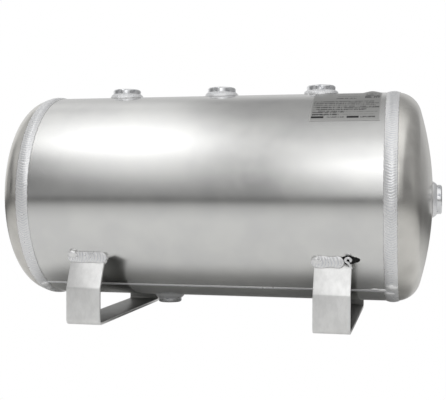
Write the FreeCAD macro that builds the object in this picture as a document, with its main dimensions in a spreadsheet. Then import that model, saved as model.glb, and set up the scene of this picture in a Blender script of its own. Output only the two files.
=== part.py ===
import FreeCAD
import Part
import math
import os
import Sketcher

# Air receiver tank: a rolled aluminium shell with two dished heads, welded ports and two strap feet.
# Frame: millimetres, +Z up, +X along the tank towards the end port, -Y is the front.
# The origin is on the floor under the middle of the overall length.

DIMENSIONS = {
    # shell: one sheet rolled round and butt welded along a seam
    "shell_diameter": 241.3,
    "shell_wall": 4.0,
    "shell_length": 409.0,
    "seam_angle": 149.0,        # degrees round from the top towards the front
    "seam_gap": 2.0,
    "seam_weld_width": 5.0,
    "seam_weld_crown": 0.9,
    # heads: torispherical, with a joggled skirt that slips inside the shell
    "crown_radius": 360.0,
    "knuckle_radius": 29.0,
    "head_wall": 4.0,
    "head_flange": 3.4,         # from the shell's end to where the knuckle starts
    "skirt_length": 16.0,
    "skirt_clearance": 0.3,
    # girth welds between shell and heads
    "root_gap": 2.0,
    "weld_bevel": 1.2,
    "girth_weld_width": 15.2,
    "girth_weld_crown": 1.9,
    # ports: turned half couplings, set through the wall and fillet welded
    "port_pitch": 120.5,
    "port_diameter": 33.7,
    "port_bore": 18.3,
    "port_stand": 9.9,
    "end_port_stand": 10.0,
    "end_port_drop": 3.0,
    "drain_diameter": 28.5,
    "drain_bore": 14.7,
    "drain_stand": 9.5,
    "drain_x": -64.7,
    "port_inside": 3.0,         # how far a coupling passes the inner wall
    "port_clearance": 0.15,
    "port_chamfer": 1.4,
    "bore_chamfer": 1.2,
    "port_weld_leg": 3.7,
    "port_weld_height": 4.6,
    # feet: flat bar bent into an open channel whose tabs land on the shell
    "foot_width": 40.0,
    "foot_thickness": 3.2,
    "foot_span": 230.0,
    "foot_bend_radius": 3.2,
    "foot_bend_height": 41.7,
    "foot_seat_angle": 125.0,   # degrees round from the top to where a tab lands
    "foot_pitch": 278.2,
    "foot_shift": 5.6,
    "floor_clearance": 24.5,    # from the floor to the underside of the shell
    "foot_weld_leg": 8.0,
    "foot_weld_overrun": 3.5,
    # label: a thin foil plate on the upper front of the shell
    "label_length": 76.0,
    "label_x": 155.0,
    "label_top_angle": 11.5,
    "label_bottom_angle": 47.0,
    "label_thickness": 0.4,
}

doc = FreeCAD.newDocument("air_receiver")
sheet = doc.addObject("Spreadsheet::Sheet", "Dims")
for row, (alias, number) in enumerate(DIMENSIONS.items(), start=1):
    sheet.set(f"A{row}", alias)
    sheet.set(f"B{row}", str(number))
    sheet.setAlias(f"B{row}", alias)
doc.recompute()

# Derived sizes, as expressions on the sheet's cells
TANK_X = "-Dims.end_port_stand / 2"
OUTER = "Dims.shell_diameter / 2"
INNER = "(Dims.shell_diameter / 2 - Dims.shell_wall)"
AXIS_Z = "(Dims.floor_clearance + Dims.shell_diameter / 2)"
SHELL_END = "Dims.shell_length / 2"
SHOULDER = "(Dims.shell_length / 2 + Dims.root_gap)"
TANGENT = "(Dims.shell_length / 2 + Dims.head_flange)"
SKIRT = "(Dims.shell_diameter / 2 - Dims.shell_wall - Dims.skirt_clearance)"
KNUCKLE_R = "(Dims.shell_diameter / 2 - Dims.knuckle_radius)"
CROWN_ARM = "(Dims.crown_radius - Dims.knuckle_radius)"
CROWN_BACK = f"sqrt({CROWN_ARM} ^ 2 - {KNUCKLE_R} ^ 2)"
CROWN_X = f"({TANGENT} - {CROWN_BACK})"
APEX = f"({CROWN_X} + Dims.crown_radius)"
SEAT_Y = f"({OUTER} * sin(Dims.foot_seat_angle * 1 deg))"
SEAT_Z = f"({AXIS_Z} + {OUTER} * cos(Dims.foot_seat_angle * 1 deg))"
TAB_RUN = f"({SEAT_Y} - Dims.foot_span / 2)"
TAB_RISE = f"({SEAT_Z} - Dims.foot_bend_height)"
TAB_LENGTH = f"sqrt({TAB_RUN} ^ 2 + {TAB_RISE} ^ 2)"

ALONG_X = FreeCAD.Rotation(FreeCAD.Vector(0, 1, 0), 90)
FACING = {
    "up": FreeCAD.Rotation(),
    "down": FreeCAD.Rotation(FreeCAD.Vector(1, 0, 0), 180),
    "end": ALONG_X,
    "right": FreeCAD.Rotation(),
    "left": FreeCAD.Rotation(FreeCAD.Vector(0, 0, 1), 180),
}


def number(expression):
    """The plain value of an expression on the sheet."""
    return float(sheet.evalExpression(expression))


def make_body(label, x="0", z="0", facing="up"):
    """A body at (x, 0, z), turned to face one way."""
    body = doc.addObject("PartDesign::Body", label)
    body.Label = label
    body.Placement = FreeCAD.Placement(FreeCAD.Vector(), FACING[facing])
    body.setExpression("Placement.Base.x", x)
    body.setExpression("Placement.Base.z", z)
    return body


def make_sketch(body, plane, name, turn=None):
    """A sketch on one of the body's own planes, turned about its normal by an angle from the sheet."""
    sketch = body.newObject("Sketcher::SketchObject", name)
    support = next(item for item in body.Origin.OriginFeatures if item.Role == plane)
    sketch.AttachmentSupport = (support, [""])
    sketch.MapMode = "FlatFace"
    if turn:
        axis = FreeCAD.Vector(0, 0, 1)
        sketch.AttachmentOffset = FreeCAD.Placement(FreeCAD.Vector(), FreeCAD.Rotation(axis, 1))
        sketch.setExpression("AttachmentOffset.Rotation.Angle", f"{turn} * 1 deg")
    return sketch


def bind(sketch, constraint, expression):
    """Add a dimension to the sketch and tie it to the sheet."""
    index = sketch.addConstraint(constraint)
    sketch.setExpression(f"Constraints[{index}]", expression)


def place_point(sketch, geometry, point, across, up):
    """Fix a point of the sketch at two expressions, or on an axis where one is 0."""
    if across == "0":
        sketch.addConstraint(Sketcher.Constraint("PointOnObject", geometry, point, -2))
    else:
        bind(sketch, Sketcher.Constraint("DistanceX", -1, 1, geometry, point, number(across)), across)
    if up == "0":
        sketch.addConstraint(Sketcher.Constraint("PointOnObject", geometry, point, -1))
    else:
        bind(sketch, Sketcher.Constraint("DistanceY", -1, 1, geometry, point, number(up)), up)


def arc_between(start, end, radius, left):
    """The shorter arc from start to end, with its centre to the left or right of the way it runs."""
    middle = (start + end) / 2
    chord = end - start
    sideways = FreeCAD.Vector(-chord.y, chord.x, 0).normalize()
    if not left:
        sideways = -sideways
    centre = middle + sideways * math.sqrt(radius ** 2 - (chord.Length / 2) ** 2)
    first, last = (start, end) if left else (end, start)
    circle = Part.Circle(centre, FreeCAD.Vector(0, 0, 1), radius)
    first_angle = math.atan2(first.y - centre.y, first.x - centre.x)
    last_angle = math.atan2(last.y - centre.y, last.x - centre.x)
    return Part.ArcOfCircle(circle, first_angle, last_angle)


def draw_outline(sketch, corners):
    """A closed outline. Each corner is (across, up), and (across, up, radius, side) starts an arc.

    The side, "left" or "right", is where the arc's centre lies on the way to the next corner.
    """
    points = [FreeCAD.Vector(number(corner[0]), number(corner[1]), 0) for corner in corners]
    ends = []
    for index, corner in enumerate(corners):
        start = points[index]
        end = points[(index + 1) % len(corners)]
        if len(corner) == 2:
            geometry = sketch.addGeometry(Part.LineSegment(start, end), False)
            ends.append((geometry, 1, 2))
            continue
        left = corner[3] == "left"
        geometry = sketch.addGeometry(arc_between(start, end, number(corner[2]), left), False)
        ends.append((geometry, 1, 2) if left else (geometry, 2, 1))
    for index, (geometry, first, last) in enumerate(ends):
        following, next_first, _ = ends[(index + 1) % len(ends)]
        sketch.addConstraint(Sketcher.Constraint("Coincident", geometry, last, following, next_first))
        place_point(sketch, geometry, first, corners[index][0], corners[index][1])
    for index, corner in enumerate(corners):
        if len(corner) == 4:
            geometry = ends[index][0]
            bind(sketch, Sketcher.Constraint("Radius", geometry, number(corner[2])), corner[2])


def draw_circle(sketch, across, up, radius):
    """A circle whose centre and radius are expressions."""
    centre = FreeCAD.Vector(number(across), number(up), 0)
    circle = Part.Circle(centre, FreeCAD.Vector(0, 0, 1), number(radius))
    geometry = sketch.addGeometry(circle, False)
    place_point(sketch, geometry, 3, across, up)
    bind(sketch, Sketcher.Constraint("Radius", geometry, number(radius)), radius)


def pad_both_ways(body, sketch, name, length):
    """Pad a sketch half its length to each side of its plane."""
    pad = body.newObject("PartDesign::Pad", name)
    pad.Profile = sketch
    pad.SideType = "Symmetric"
    pad.setExpression("Length", length)
    return pad


def revolve(body, sketch, name, axis):
    """Turn a sketch once round its own horizontal or vertical axis."""
    turned = body.newObject("PartDesign::Revolution", name)
    turned.Profile = sketch
    turned.ReferenceAxis = (sketch, [axis])
    turned.Angle = 360
    return turned


def pocket_through(body, sketch, name, reverse=False, both=False):
    """Cut a sketch through everything on one side of its plane, or on both, and prove that it cut."""
    doc.recompute()
    before = body.Shape.Volume
    pocket = body.newObject("PartDesign::Pocket", name)
    pocket.Profile = sketch
    if both:
        pocket.SideType = "Symmetric"
    pocket.Type = "ThroughAll"
    pocket.Reversed = reverse
    doc.recompute()
    if body.Shape.Volume > before - 1:
        raise RuntimeError(f"{name} removed nothing from {body.Label}")
    return pocket


def edges_at(shape, test):
    """Names of the edges whose whole length passes the test."""
    names = []
    for index, edge in enumerate(shape.Edges, start=1):
        span = edge.LastParameter - edge.FirstParameter
        samples = [edge.valueAt(edge.FirstParameter + share * span) for share in (0.1, 0.5, 0.9)]
        if all(test(point) for point in samples):
            names.append(f"Edge{index}")
    return names


def chamfer_edges(body, feature, test, size):
    """Chamfer the edges of the body's last feature that pass the test."""
    doc.recompute()
    chamfer = body.newObject("PartDesign::Chamfer", f"{body.Label}_bevel")
    chamfer.Base = (feature, edges_at(feature.Shape, test))
    chamfer.setExpression("Size", size)
    return chamfer


def fillet_bend(body, feature, name, radius, corners):
    """Round the edges along X that pass through any of the corners, given as (y, z), front and rear."""
    doc.recompute()

    def on_corner(point):
        return any(math.hypot(abs(point.y) - y, point.z - z) < 0.01 for y, z in corners)

    fillet = body.newObject("PartDesign::Fillet", name)
    fillet.Base = (feature, edges_at(feature.Shape, on_corner))
    fillet.setExpression("Radius", radius)
    return fillet


def make_shell():
    """Rolled tube with port holes, an open seam along its low front and bevelled ends."""
    body = make_body("shell", TANK_X, AXIS_Z)
    ring = make_sketch(body, "YZ_Plane", "shell_ring")
    draw_circle(ring, "0", "0", OUTER)
    draw_circle(ring, "0", "0", INNER)
    pad_both_ways(body, ring, "shell_tube", "Dims.shell_length")

    hole = "(Dims.port_diameter / 2 + Dims.port_clearance)"
    top = make_sketch(body, "XY_Plane", "shell_top_holes")
    for place in ("-Dims.port_pitch", "0", "Dims.port_pitch"):
        draw_circle(top, place, "0", hole)
    pocket_through(body, top, "shell_top_ports", reverse=True)
    low = make_sketch(body, "XY_Plane", "shell_drain_hole")
    draw_circle(low, "Dims.drain_x", "0", "(Dims.drain_diameter / 2 + Dims.port_clearance)")
    pocket_through(body, low, "shell_drain_port")

    slit = make_sketch(body, "YZ_Plane", "shell_seam_slit", turn="Dims.seam_angle")
    half = "Dims.seam_gap / 2"
    draw_outline(slit, [
        (f"-{half}", f"{INNER} - Dims.shell_wall"),
        (half, f"{INNER} - Dims.shell_wall"),
        (half, f"{OUTER} + Dims.shell_wall"),
        (f"-{half}", f"{OUTER} + Dims.shell_wall"),
    ])
    seam = pocket_through(body, slit, "shell_seam", both=True)
    end = number(SHELL_END)
    radius = number(OUTER)

    def outer_rim(point):
        return abs(abs(point.x) - end) < 0.01 and abs(math.hypot(point.y, point.z) - radius) < 0.01

    chamfer_edges(body, seam, outer_rim, "Dims.weld_bevel")
    return body


def make_seam_weld():
    """Bead that closes the shell's seam: a crown outside and a web through the wall."""
    body = make_body("long_seam_weld", TANK_X, AXIS_Z)
    half = "Dims.seam_gap / 2"
    toe = "Dims.seam_weld_width / 2"
    outer_at_gap = f"sqrt(({OUTER}) ^ 2 - ({half}) ^ 2)"
    outer_at_toe = f"sqrt(({OUTER}) ^ 2 - ({toe}) ^ 2)"
    inner_at_gap = f"sqrt({INNER} ^ 2 - ({half}) ^ 2)"
    crown_radius = f"(({toe}) ^ 2 + Dims.seam_weld_crown ^ 2) / (2 * Dims.seam_weld_crown)"
    web = make_sketch(body, "YZ_Plane", "seam_web", turn="Dims.seam_angle")
    draw_outline(web, [
        (f"-{half}", inner_at_gap),
        (half, inner_at_gap),
        (half, outer_at_gap, OUTER, "left"),
        (f"-{half}", outer_at_gap),
    ])
    pad_both_ways(body, web, "seam_web_pad", "Dims.shell_length - 2 * Dims.weld_bevel")
    crown = make_sketch(body, "YZ_Plane", "seam_crown", turn="Dims.seam_angle")
    draw_outline(crown, [
        (toe, outer_at_toe, crown_radius, "left"),
        (f"-{toe}", outer_at_toe, OUTER, "right"),
    ])
    clear_of_girth = "Dims.shell_length - Dims.girth_weld_width + Dims.root_gap"
    pad_both_ways(body, crown, "seam_crown_pad", clear_of_girth)
    return body


def make_head(label, side):
    """Dished head: crown, knuckle, short flange and a skirt stepped in to back the girth weld."""
    body = make_body(label, TANK_X, AXIS_Z, side)
    wall = "Dims.head_wall"
    jog = f"({SHOULDER} + {wall})"
    inner_knuckle = f"(Dims.knuckle_radius - {wall})"
    inner_crown = f"(Dims.crown_radius - {wall})"
    section = make_sketch(body, "XZ_Plane", f"{label}_section")
    draw_outline(section, [
        (SHOULDER, SKIRT),
        (SHOULDER, f"{OUTER} - Dims.weld_bevel"),
        (f"{SHOULDER} + Dims.weld_bevel", OUTER),
        (TANGENT, OUTER, "Dims.knuckle_radius", "right"),
        (f"{CROWN_X} + Dims.crown_radius * {CROWN_BACK} / {CROWN_ARM}",
         f"Dims.crown_radius * {KNUCKLE_R} / {CROWN_ARM}", "Dims.crown_radius", "right"),
        (APEX, "0"),
        (f"{APEX} - {wall}", "0", inner_crown, "left"),
        (f"{CROWN_X} + {inner_crown} * {CROWN_BACK} / {CROWN_ARM}",
         f"{inner_crown} * {KNUCKLE_R} / {CROWN_ARM}", inner_knuckle, "left"),
        (jog, f"{KNUCKLE_R} + sqrt({inner_knuckle} ^ 2 - ({jog} - {TANGENT}) ^ 2)"),
        (f"{jog} - {wall} / 2", f"{SKIRT} - {wall}"),
        (f"{SHELL_END} - Dims.skirt_length", f"{SKIRT} - {wall}"),
        (f"{SHELL_END} - Dims.skirt_length", SKIRT),
    ])
    revolve(body, section, f"{label}_dish", "H_Axis")
    if side == "right":
        hole = make_sketch(body, "YZ_Plane", "end_port_hole")
        draw_circle(hole, "0", "-Dims.end_port_drop", "(Dims.port_diameter / 2 + Dims.port_clearance)")
        pocket_through(body, hole, "end_port_opening", reverse=True)
    return body


def make_girth_weld(label, side):
    """Ring of weld that fills the groove between shell and head and stands proud of both."""
    body = make_body(label, TANK_X, AXIS_Z, side)
    middle = f"({SHELL_END} + Dims.root_gap / 2)"
    half = "Dims.girth_weld_width / 2"
    head_toe = f"({middle} + {half})"
    crown_radius = f"((({half}) ^ 2 + Dims.girth_weld_crown ^ 2) / (2 * Dims.girth_weld_crown))"
    section = make_sketch(body, "XZ_Plane", f"{label}_section")
    draw_outline(section, [
        (SHELL_END, SKIRT),
        (SHELL_END, f"{OUTER} - Dims.weld_bevel"),
        (f"{SHELL_END} - Dims.weld_bevel", OUTER),
        (f"{middle} - {half}", OUTER, crown_radius, "right"),
        (head_toe, f"{KNUCKLE_R} + sqrt(Dims.knuckle_radius ^ 2 - ({head_toe} - {TANGENT}) ^ 2)",
         "Dims.knuckle_radius", "left"),
        (TANGENT, OUTER),
        (f"{SHOULDER} + Dims.weld_bevel", OUTER),
        (SHOULDER, f"{OUTER} - Dims.weld_bevel"),
        (SHOULDER, SKIRT),
    ])
    revolve(body, section, f"{label}_ring", "H_Axis")
    return body


def make_port(label, x, z, facing, size, bore, stand, wall):
    """Half coupling turned from bar. Its mouth is at the body's origin and faces +Z of the body."""
    body = make_body(label, x, z, facing)
    depth = f"({stand} + {wall} + Dims.port_inside)"
    section = make_sketch(body, "XZ_Plane", f"{label}_section")
    draw_outline(section, [
        (f"{bore} / 2 + Dims.bore_chamfer", "0"),
        (f"{size} / 2 - Dims.port_chamfer", "0"),
        (f"{size} / 2", "-Dims.port_chamfer"),
        (f"{size} / 2", f"-{depth}"),
        (f"{bore} / 2", f"-{depth}"),
        (f"{bore} / 2", "-Dims.bore_chamfer"),
    ])
    revolve(body, section, f"{label}_turning", "V_Axis")
    return body


def draw_port_weld(body, size, surface):
    """Cone of weld round a coupling, from its side down to just under the surface it stands on."""
    sink = "Dims.port_weld_height"
    section = make_sketch(body, "XZ_Plane", f"{body.Label}_section")
    draw_outline(section, [
        (f"{size} / 2", f"{surface} - {sink}"),
        (f"{size} / 2 + 2 * Dims.port_weld_leg", f"{surface} - {sink}"),
        (f"{size} / 2", f"{surface} + Dims.port_weld_height"),
    ])
    revolve(body, section, f"{body.Label}_cone", "V_Axis")


def make_shell_port_weld(label, x, facing, size):
    """Fillet weld between a coupling and the curved shell. The body's origin is on the tank's axis."""
    body = make_body(label, x, AXIS_Z, facing)
    draw_port_weld(body, size, OUTER)
    tube = body.newObject("PartDesign::SubtractiveCylinder", f"{label}_shell_face")
    tube.Placement = FreeCAD.Placement(FreeCAD.Vector(), ALONG_X)
    tube.setExpression("Radius", OUTER)
    tube.setExpression("Height", f"2 * {size}")
    tube.setExpression("Placement.Base.x", f"-{size}")
    return body


def make_end_port_weld():
    """Fillet weld between the end coupling and the crown. The body's origin is level with the crown's centre."""
    body = make_body("end_port_weld", f"{TANK_X} + {CROWN_X}", f"{AXIS_Z} - Dims.end_port_drop", "end")
    draw_port_weld(body, "Dims.port_diameter", "Dims.crown_radius")
    dish = body.newObject("PartDesign::SubtractiveSphere", "end_port_weld_head_face")
    dish.Placement = FreeCAD.Placement(FreeCAD.Vector(), ALONG_X)
    dish.setExpression("Radius", "Dims.crown_radius")
    dish.setExpression("Placement.Base.x", "-Dims.end_port_drop")
    return body


def make_foot(label, x):
    """Flat bar bent into a channel, with its two tabs cut to the curve of the shell."""
    body = make_body(label, x)
    thick = "Dims.foot_thickness"
    reach = f"(1 + 2.5 * {thick} / {TAB_LENGTH})"
    end_y = f"Dims.foot_span / 2 + {TAB_RUN} * {reach}"
    end_z = f"Dims.foot_bend_height + {TAB_RISE} * {reach}"
    across_y = f"{thick} * {TAB_RISE} / {TAB_LENGTH}"
    across_z = f"{thick} * {TAB_RUN} / {TAB_LENGTH}"
    inner_bend_z = f"Dims.foot_bend_height + {thick} * ({TAB_RUN}) / ({TAB_LENGTH} + {TAB_RISE})"
    rear_half = [
        ("Dims.foot_span / 2", "0"),
        ("Dims.foot_span / 2", "Dims.foot_bend_height"),
        (end_y, end_z),
        (f"{end_y} - {across_y}", f"{end_z} + {across_z}"),
        (f"Dims.foot_span / 2 - {thick}", inner_bend_z),
        (f"Dims.foot_span / 2 - {thick}", thick),
    ]
    front_half = [(f"-({across})", up) for across, up in reversed(rear_half)]
    section = make_sketch(body, "YZ_Plane", f"{label}_section")
    draw_outline(section, rear_half + front_half)
    strip = pad_both_ways(body, section, f"{label}_strip", "Dims.foot_width")
    span = number("Dims.foot_span / 2")
    gauge = number(thick)
    outside = [(span, 0), (span, number("Dims.foot_bend_height"))]
    inside = [(span - gauge, gauge), (span - gauge, number(inner_bend_z))]
    outer_radius = f"Dims.foot_bend_radius + {thick}"
    bend = fillet_bend(body, strip, f"{label}_outer_bends", outer_radius, outside)
    fillet_bend(body, bend, f"{label}_inner_bends", "Dims.foot_bend_radius", inside)
    tube = body.newObject("PartDesign::SubtractiveCylinder", f"{label}_shell_face")
    tube.Placement = FreeCAD.Placement(FreeCAD.Vector(), ALONG_X)
    tube.setExpression("Radius", OUTER)
    tube.setExpression("Height", "2 * Dims.foot_width")
    tube.setExpression("Placement.Base.x", "-Dims.foot_width")
    tube.setExpression("Placement.Base.z", AXIS_Z)
    return body


def make_foot_weld(label, x, side):
    """Bead along the end of one tab, with one leg on the shell and one on the tab's outer face."""
    body = make_body(label, x, "0", side)
    leg = "Dims.foot_weld_leg"
    toe_angle = f"((Dims.foot_seat_angle - {leg} / ({OUTER}) * 180 / pi) * 1 deg)"
    section = make_sketch(body, "YZ_Plane", f"{label}_section")
    draw_outline(section, [
        (SEAT_Y, SEAT_Z, OUTER, "left"),
        (f"{OUTER} * sin({toe_angle})", f"{AXIS_Z} + {OUTER} * cos({toe_angle})", f"{leg} * 1.1", "right"),
        (f"{SEAT_Y} - {leg} * {TAB_RUN} / {TAB_LENGTH}", f"{SEAT_Z} - {leg} * {TAB_RISE} / {TAB_LENGTH}"),
    ])
    pad_both_ways(body, section, f"{label}_bead", "Dims.foot_width + 2 * Dims.foot_weld_overrun")
    return body


def make_label():
    """Foil plate that follows the shell, from near the top down the front."""
    body = make_body("rating_label", f"{TANK_X} + Dims.label_x", AXIS_Z)
    face = f"({OUTER} + Dims.label_thickness)"
    top = "sin(Dims.label_top_angle * 1 deg)", "cos(Dims.label_top_angle * 1 deg)"
    low = "sin(Dims.label_bottom_angle * 1 deg)", "cos(Dims.label_bottom_angle * 1 deg)"
    section = make_sketch(body, "YZ_Plane", "label_section")
    draw_outline(section, [
        (f"-{OUTER} * {top[0]}", f"{OUTER} * {top[1]}", OUTER, "left"),
        (f"-{OUTER} * {low[0]}", f"{OUTER} * {low[1]}"),
        (f"-{face} * {low[0]}", f"{face} * {low[1]}", face, "right"),
        (f"-{face} * {top[0]}", f"{face} * {top[1]}"),
    ])
    pad_both_ways(body, section, "label_plate", "Dims.label_length")
    return body


parts = [make_shell(), make_seam_weld()]
for side in ("left", "right"):
    parts.append(make_head(f"head_{side}", side))
    parts.append(make_girth_weld(f"girth_weld_{side}", side))

top_face = f"{AXIS_Z} + {OUTER} + Dims.port_stand"
for name, place in (("left", "-Dims.port_pitch"), ("centre", "0"), ("right", "Dims.port_pitch")):
    port_x = f"{TANK_X} + ({place})"
    parts.append(make_port(f"top_port_{name}", port_x, top_face, "up", "Dims.port_diameter",
                           "Dims.port_bore", "Dims.port_stand", "Dims.shell_wall"))
    parts.append(make_shell_port_weld(f"top_port_weld_{name}", port_x, "up", "Dims.port_diameter"))

drain_x = f"{TANK_X} + Dims.drain_x"
drain_face = f"{AXIS_Z} - {OUTER} - Dims.drain_stand"
parts.append(make_port("drain_port", drain_x, drain_face, "down", "Dims.drain_diameter",
                       "Dims.drain_bore", "Dims.drain_stand", "Dims.shell_wall"))
parts.append(make_shell_port_weld("drain_port_weld", drain_x, "down", "Dims.drain_diameter"))

end_face = f"{TANK_X} + {APEX} + Dims.end_port_stand"
parts.append(make_port("end_port", end_face, f"{AXIS_Z} - Dims.end_port_drop", "end", "Dims.port_diameter",
                       "Dims.port_bore", "Dims.end_port_stand", "Dims.head_wall"))
parts.append(make_end_port_weld())

for side, sign in (("left", "-"), ("right", "+")):
    foot_x = f"{TANK_X} + Dims.foot_shift {sign} Dims.foot_pitch / 2"
    parts.append(make_foot(f"foot_{side}", foot_x))
    parts.append(make_foot_weld(f"foot_{side}_weld_rear", foot_x, "right"))
    parts.append(make_foot_weld(f"foot_{side}_weld_front", foot_x, "left"))
parts.append(make_label())
doc.recompute()

faults = [item.Label for item in doc.Objects if {"Invalid", "Error"} & set(item.State)]
if faults:
    raise RuntimeError(f"these objects failed: {faults}")
for piece in parts:
    if piece.Shape.isNull() or not piece.Shape.isValid():
        raise RuntimeError(f"{piece.Label} has no valid shape")
    if len(piece.Shape.Solids) != 1:
        raise RuntimeError(f"{piece.Label} is {len(piece.Shape.Solids)} solids, not one")

os.makedirs("parts", exist_ok=True)
for piece in parts:
    piece.Shape.exportStep(f"parts/{piece.Label}.step")
    box = piece.Shape.optimalBoundingBox()
    print(f"{piece.Label:24s} {piece.Shape.Volume / 1000:9.2f} cm3  "
          f"x {box.XMin:8.2f} {box.XMax:8.2f}  y {box.YMin:8.2f} {box.YMax:8.2f}  z {box.ZMin:7.2f} {box.ZMax:7.2f}")
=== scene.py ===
import math

import bmesh
import bpy
import numpy as np
from mathutils import Matrix, Vector, noise


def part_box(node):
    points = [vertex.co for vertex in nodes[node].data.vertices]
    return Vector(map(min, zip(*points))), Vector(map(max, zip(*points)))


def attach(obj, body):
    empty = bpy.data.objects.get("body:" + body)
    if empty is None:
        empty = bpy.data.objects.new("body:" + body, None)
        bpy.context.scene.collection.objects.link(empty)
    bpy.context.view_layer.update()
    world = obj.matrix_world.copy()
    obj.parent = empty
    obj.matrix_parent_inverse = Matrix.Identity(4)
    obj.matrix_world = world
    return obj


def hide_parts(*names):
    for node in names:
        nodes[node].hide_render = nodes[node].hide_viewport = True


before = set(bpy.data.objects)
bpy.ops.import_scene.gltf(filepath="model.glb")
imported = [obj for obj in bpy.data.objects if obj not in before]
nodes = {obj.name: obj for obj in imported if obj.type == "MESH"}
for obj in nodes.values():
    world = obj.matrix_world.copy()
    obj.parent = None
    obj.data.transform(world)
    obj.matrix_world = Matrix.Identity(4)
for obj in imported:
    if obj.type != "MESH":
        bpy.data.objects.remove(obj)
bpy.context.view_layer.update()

mm = 0.001
joinWithin = 0.002 * mm    # points closer than this are one point
print("frame loaded:", len(nodes), "nodes")


def linearColour(hexText):
    channels = [int(hexText[i:i + 2], 16) / 255 for i in (1, 3, 5)]
    return [c / 12.92 if c <= 0.04045 else ((c + 0.055) / 1.055) ** 2.4 for c in channels] + [1.0]


def addNode(tree, kind, settings=None, values=None, links=None):
    # a link may name a socket, or a node whose first live output is meant
    node = tree.nodes.new(kind)
    for name, value in (settings or {}).items():
        setattr(node, name, value)
    for socket, value in (values or {}).items():
        node.inputs[socket].default_value = value
    for socket, source in (links or {}).items():
        if isinstance(source, bpy.types.Node):
            source = next(output for output in source.outputs if output.enabled)
        tree.links.new(source, node.inputs[socket])
    return node


def newTree(name):
    material = bpy.data.materials.new(name)
    material.use_nodes = True
    material.node_tree.nodes.clear()
    return material, material.node_tree


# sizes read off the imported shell, which everything else is set out from
shellLow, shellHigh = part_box("shell")
tank = {"radius": (shellHigh.y - shellLow.y) / 2, "height": (shellLow.z + shellHigh.z) / 2,
        "middle": (shellLow.x + shellHigh.x) / 2, "half": (shellHigh.x - shellLow.x) / 2,
        "wall": 4 * mm, "bevel": 1.2 * mm, "segments": 240, "rows": 100}


def mottled(tree, pattern, look):
    # the colour and roughness of a metal that a pattern leads from one state to another
    colourLow, colourHigh = look["colourSpan"]
    roughLow, roughHigh = look["roughSpan"]
    first, second = (linearColour(colour) for colour in look["colours"])
    tint = addNode(tree, "ShaderNodeMapRange", values={"From Min": colourLow, "From Max": colourHigh},
                   links={"Value": pattern})
    colour = addNode(tree, "ShaderNodeMix", {"data_type": "RGBA"}, {"A": first, "B": second},
                     {"Factor": tint})
    rough = addNode(tree, "ShaderNodeMapRange",
                    values={"From Min": roughLow, "From Max": roughHigh,
                            "To Min": look["roughness"][0], "To Max": look["roughness"][1]},
                    links={"Value": pattern})
    return colour, rough


# Mill finish aluminium sheet rolled to a tube: a satin sheen, broken into a fine even mottle by the rolls.
# The real grain is a few tenths of a millimetre; it is drawn at 1.5 mm so that it shows.
sheetLook = {"colours": ("#E9E9E8", "#F0F0EE"), "colourSpan": (0.35, 0.65),
             "roughness": (0.17, 0.19), "roughSpan": (0.35, 0.65),
             "grainSize": 1.5 * mm, "grainDepth": 0.016 * mm, "cloudSize": 34 * mm,
             "waveSize": 60 * mm, "waveDepth": 0.03 * mm}


def rolledSheet():
    look = sheetLook
    material, tree = newTree("millFinishRolledAluminium")
    place = addNode(tree, "ShaderNodeTexCoord").outputs["Object"]
    grain, cloud, wave = (
        addNode(tree, "ShaderNodeTexNoise", values={"Scale": 1 / size, "Detail": detail},
                links={"Vector": place})
        for size, detail in ((look["grainSize"], 2.0), (look["cloudSize"], 4.0), (look["waveSize"], 0.0)))
    colour, rough = mottled(tree, cloud, look)
    rolling = addNode(tree, "ShaderNodeBump", values={"Distance": look["waveDepth"]}, links={"Height": wave})
    grained = addNode(tree, "ShaderNodeBump", values={"Distance": look["grainDepth"]},
                      links={"Height": grain, "Normal": rolling})
    metal = addNode(tree, "ShaderNodeBsdfPrincipled", values={"Metallic": 1.0},
                    links={"Base Color": colour, "Roughness": rough, "Normal": grained})
    addNode(tree, "ShaderNodeOutputMaterial", links={"Surface": metal})
    return material


# Spun aluminium head: duller and slightly warmer than the sheet, with faint rings left by the roller.
# A wave texture turns through ringRadians for each unit of its scale and of length.
headLook = {"colours": ("#D8D6D1", "#E9E7E2"), "colourSpan": (0.35, 0.65),
            "roughness": (0.2, 0.25), "roughSpan": (0.35, 0.65),
            "ringPitch": 2.6 * mm, "ringRadians": 20, "ringDepth": 0.005 * mm, "ringWander": 1.2,
            "ringWanderScale": 0.4, "cloudSize": 30 * mm, "waveSize": 50 * mm, "waveDepth": 0.1 * mm,
            "grainSize": 1.8 * mm, "grainDepth": 0.01 * mm}


def spunHead():
    look = headLook
    material, tree = newTree("spunAluminiumHead")
    place = addNode(tree, "ShaderNodeTexCoord").outputs["Object"]
    centred = addNode(tree, "ShaderNodeMapping", values={"Location": (0, 0, -tank["height"])},
                      links={"Vector": place})
    ring = addNode(tree, "ShaderNodeTexWave",
                   {"wave_type": "RINGS", "rings_direction": "X", "wave_profile": "SIN"},
                   {"Scale": 2 * math.pi / look["ringRadians"] / look["ringPitch"],
                    "Distortion": look["ringWander"], "Detail": 1.0, "Detail Scale": look["ringWanderScale"]},
                   {"Vector": centred})
    cloud, wave, grain = (
        addNode(tree, "ShaderNodeTexNoise", values={"Scale": 1 / size, "Detail": detail},
                links={"Vector": place})
        for size, detail in ((look["cloudSize"], 4.0), (look["waveSize"], 0.0), (look["grainSize"], 2.0)))
    colour, rough = mottled(tree, cloud, look)
    normal = None
    for height, depth in ((wave, look["waveDepth"]), (ring, look["ringDepth"]), (grain, look["grainDepth"])):
        source = ring.outputs["Fac"] if height == ring else height
        below = {"Normal": normal} if normal else {}
        normal = addNode(tree, "ShaderNodeBump", values={"Distance": depth},
                         links={"Height": source, **below})
    metal = addNode(tree, "ShaderNodeBsdfPrincipled", values={"Metallic": 1.0},
                    links={"Base Color": colour, "Roughness": rough, "Normal": normal})
    addNode(tree, "ShaderNodeOutputMaterial", links={"Surface": metal})
    return material


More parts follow.
